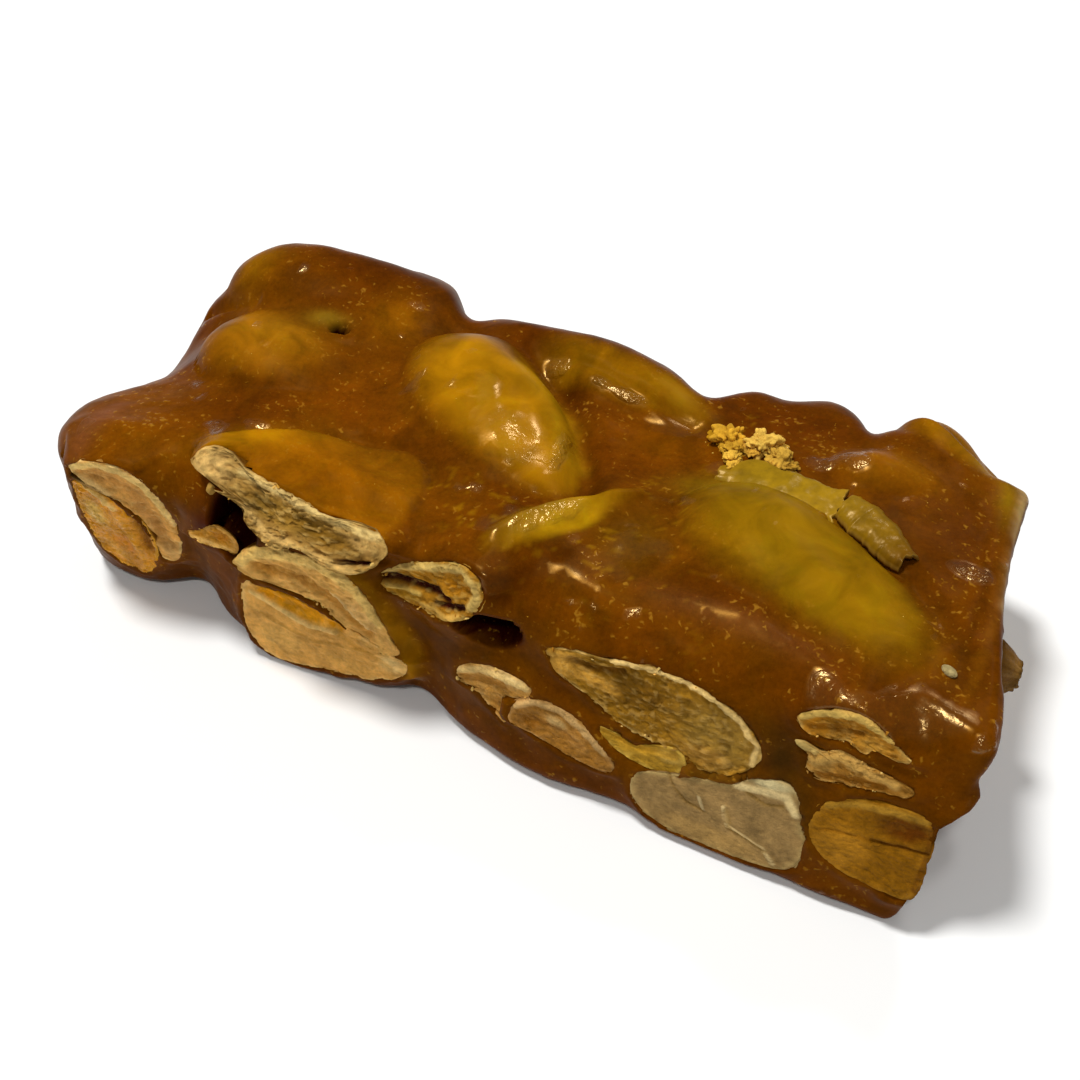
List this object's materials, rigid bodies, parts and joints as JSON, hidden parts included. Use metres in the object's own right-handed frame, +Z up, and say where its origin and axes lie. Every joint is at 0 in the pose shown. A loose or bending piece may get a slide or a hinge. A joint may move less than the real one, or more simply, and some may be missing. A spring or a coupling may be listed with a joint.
{
  "type": "almond nougat block",
  "caption": "Hard almond nougat bar: dark glossy caramel slab with whole glazed almonds on top and cut almonds laid open along its sides.",
  "frame": {"origin": "middle of the bounding box at the flat bottom face", "axes": "+Z up, +X along the bar, -Y the cut front with the most almonds laid open"},
  "size_m": [0.0774, 0.0392, 0.02],
  "materials": {
    "caramel": "glossy",
    "glazed_almond": "glossy",
    "cut_almond": "matte",
    "almond_skin_side": "satin",
    "glaze_flake": "satin"
  },
  "bodies": {
    "root": {"almond_back_fifth": "cut_almond", "almond_back_first": "cut_almond", "almond_back_fourth": "cut_almond", "almond_back_second": "cut_almond", "almond_back_third": "almond_skin_side", "almond_chip_left": "cut_almond", "almond_corner": "almond_skin_side", "almond_crumbly": "cut_almond", "almond_end_left": "cut_almond", "almond_end_lower": "almond_skin_side", "almond_end_right": "cut_almond", "almond_end_upper": "cut_almond", "almond_far_right": "glazed_almond", "almond_gap_lower": "cut_almond", "almond_gap_upper": "cut_almond", "almond_left": "glazed_almond", "almond_middle": "glazed_almond", "almond_pale": "cut_almond", "almond_rear": "glazed_almond", "almond_rear_corner": "glazed_almond", "almond_rear_left": "glazed_almond", "almond_ridge": "glazed_almond", "almond_right": "glazed_almond", "almond_rough": "cut_almond", "almond_shard": "almond_skin_side", "almond_shelf": "cut_almond", "almond_slip": "cut_almond", "almond_sliver": "cut_almond", "almond_split_lower": "cut_almond", "almond_split_upper": "cut_almond", "almond_wedge": "cut_almond", "caramel": "caramel", "flake_left": "glaze_flake", "flake_right": "glaze_flake"}
  },
  "joints": []
}
